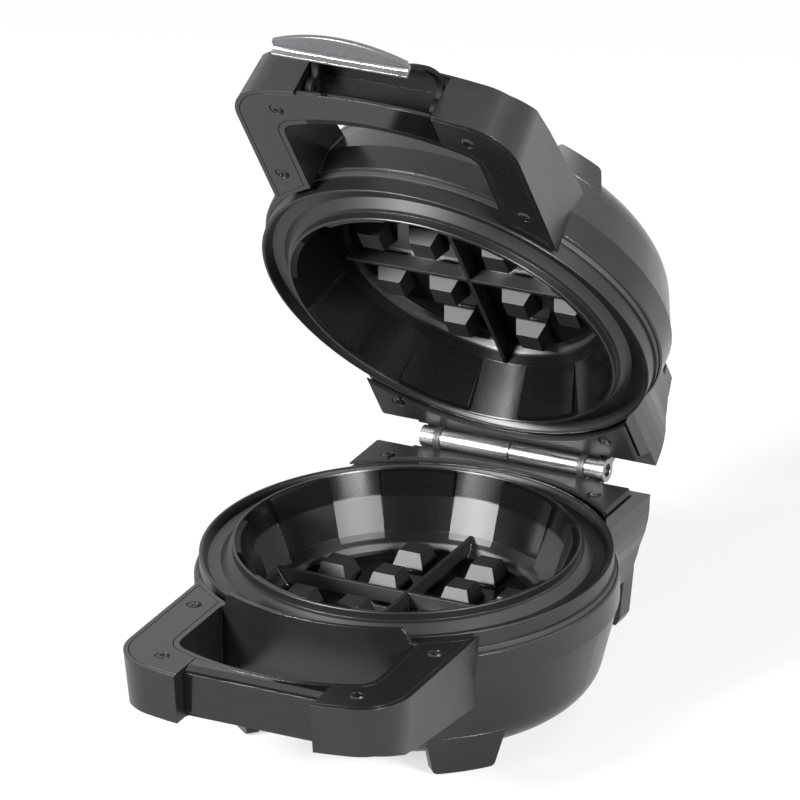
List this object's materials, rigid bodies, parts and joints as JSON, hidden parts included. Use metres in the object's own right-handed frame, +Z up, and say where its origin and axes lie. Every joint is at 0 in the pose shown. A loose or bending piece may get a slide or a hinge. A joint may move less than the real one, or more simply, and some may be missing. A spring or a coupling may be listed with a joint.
{
  "type": "stuffed waffle maker",
  "caption": "Round stuffed waffle maker with deep waffle-grid cooking plates, a hinged lid, loop handles at the front and a swinging latch.",
  "frame": {"origin": "on the surface it stands on, under the centre of the base's round cooking plate", "axes": "+Z up, +Y towards the hinge at the rear, -Y towards the handles at the front, +X to the right of a person at the handle"},
  "size_m": [0.2156, 0.3657, 0.3847],
  "materials": {
    "black_housing": "satin moulded plastic with a fine sheen",
    "black_cover": "satin moulded plastic",
    "gloss_black": "polished moulded plastic",
    "nonstick": "cast aluminium with a dark grained non-stick coating",
    "insulator": "heat-resistant moulded resin",
    "hinge_metal": "satin plated steel",
    "latch_metal": "satin silver plating",
    "screw_steel": "plated steel",
    "inner_steel": "bare sheet steel",
    "rubber": "matt rubber",
    "ceramic": "pale heat-resistant terminal moulding"
  },
  "bodies": {
    "base": {"base_cooking_plate": "nonstick", "base_cover_screws": "screw_steel", "base_deck_cover": "black_cover", "base_handle_cover_left": "black_cover", "base_handle_cover_right": "black_cover", "base_heat_shield": "inner_steel", "base_heating_element": "inner_steel", "base_hinge_ears": "insulator", "base_hinge_long": "hinge_metal", "base_hinge_screws": "screw_steel", "base_hinge_short": "hinge_metal", "base_housing": "black_housing", "base_inner_screws": "screw_steel", "base_insulating_ring": "insulator", "base_plate_clips": "inner_steel", "base_thermal_fuse": "inner_steel", "cord_gland": "insulator", "foot_pads": "rubber", "hinge_pin": "inner_steel", "latch_catch": "gloss_black", "terminal_block": "ceramic", "thermostat": "inner_steel"},
    "lid": {"latch_pivot_pin": "inner_steel", "lid_cooking_plate": "nonstick", "lid_cover_screws": "screw_steel", "lid_deck_cover": "black_cover", "lid_handle_cover": "black_cover", "lid_heat_shield": "inner_steel", "lid_heating_element": "inner_steel", "lid_hinge_ears": "insulator", "lid_hinge_long": "hinge_metal", "lid_hinge_screws": "screw_steel", "lid_hinge_short": "hinge_metal", "lid_housing": "black_housing", "lid_inner_screws": "screw_steel", "lid_insulating_ring": "insulator", "lid_plate_clips": "inner_steel", "lid_thermal_fuse": "inner_steel"},
    "latch": {"latch_arm_left": "insulator", "latch_arm_right": "insulator", "latch_pull": "latch_metal"}
  },
  "joints": [
    {"name": "lid_hinge", "type": "hinge", "parent": "base", "child": "lid", "pos_m": [0, 0.1178, 0.0885], "axis": [-1, 0, 0], "range_deg": [-56.2, 33.8]},
    {"name": "latch_pivot", "type": "hinge", "parent": "lid", "child": "latch", "pos_m": [0, -0.02901, 0.33836], "axis": [1, 0, 0], "range_deg": [-3, 75.3]}
  ]
}
